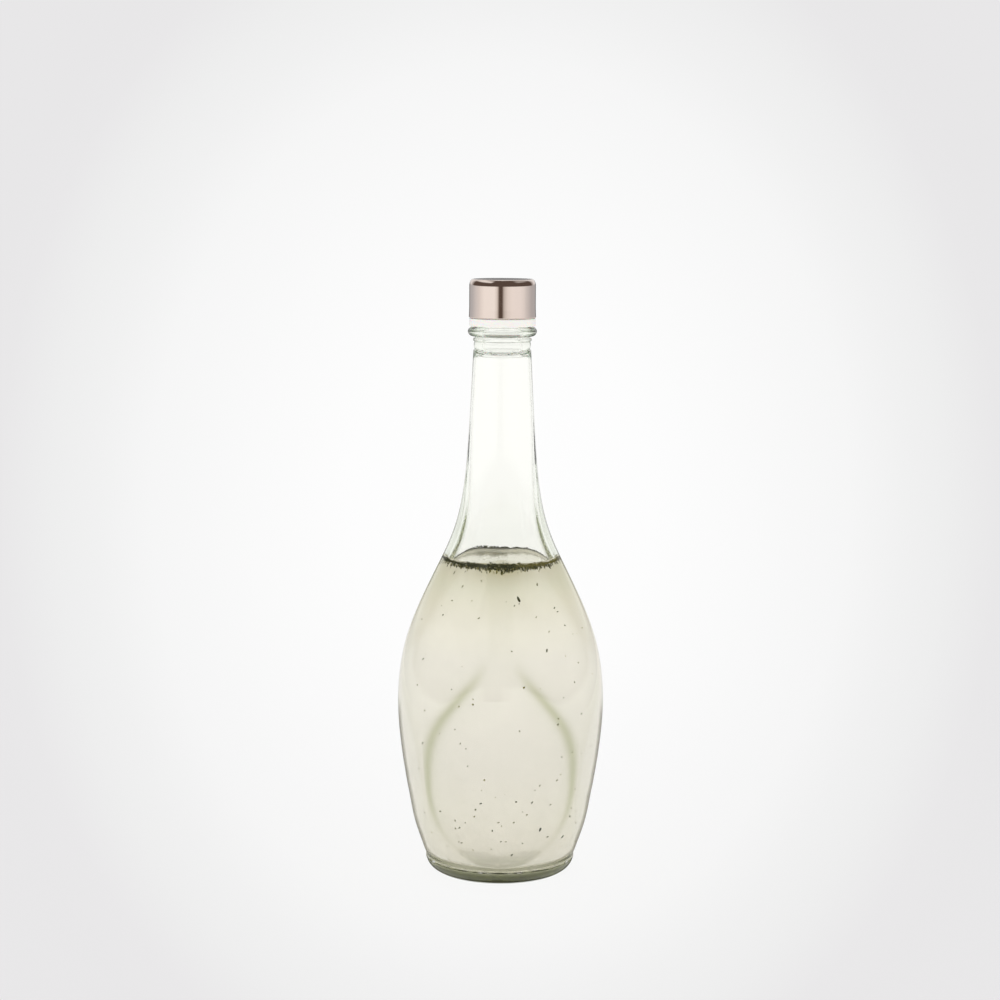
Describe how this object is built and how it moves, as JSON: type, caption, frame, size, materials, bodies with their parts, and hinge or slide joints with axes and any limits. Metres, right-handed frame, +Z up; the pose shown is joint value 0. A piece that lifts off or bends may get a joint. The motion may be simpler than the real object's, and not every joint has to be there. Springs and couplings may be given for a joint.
{
  "type": "drink bottle",
  "caption": "Clear glass drink bottle with an egg-shaped faceted body, long neck and metal screw cap, filled with a cloudy herb drink.",
  "frame": {"origin": "middle of the standing ring, on the surface that the bottle stands on", "axes": "+Z up along the bottle's axis; the four teardrop panels face +X, -X, +Y and -Y, and the pictured panel faces -Y"},
  "size_m": [0.0958, 0.0958, 0.2764],
  "materials": {
    "glass": "clear, polished, with a faint green tint",
    "drink": "cloudy pale straw liquid",
    "herbs": "wet chopped leaves, dark green",
    "seal_foam": "soft foam",
    "white_plastic": "satin white",
    "polished_metal": "polished, pale champagne"
  },
  "bodies": {
    "bottle": {"glass_bottle": "glass", "drink": "drink", "herb_ring": "herbs"},
    "seal": {"seal_disc": "seal_foam"},
    "cap": {"cap_insert": "white_plastic", "cap_shell": "polished_metal"}
  },
  "joints": [
    {"name": "cap_rise", "type": "slide", "parent": "bottle", "child": "seal", "axis": [0, 0, 1], "range_m": [0, 0.0063]},
    {"name": "cap_turn", "type": "hinge", "parent": "seal", "child": "cap", "pos_m": [0, 0, 0.2724], "axis": [0, 0, 1], "range_deg": [0, 540]}
  ],
  "couplings": [
    {"joint": "cap_rise", "follows": "cap_turn", "m_per_rad": 0.000668}
  ]
}
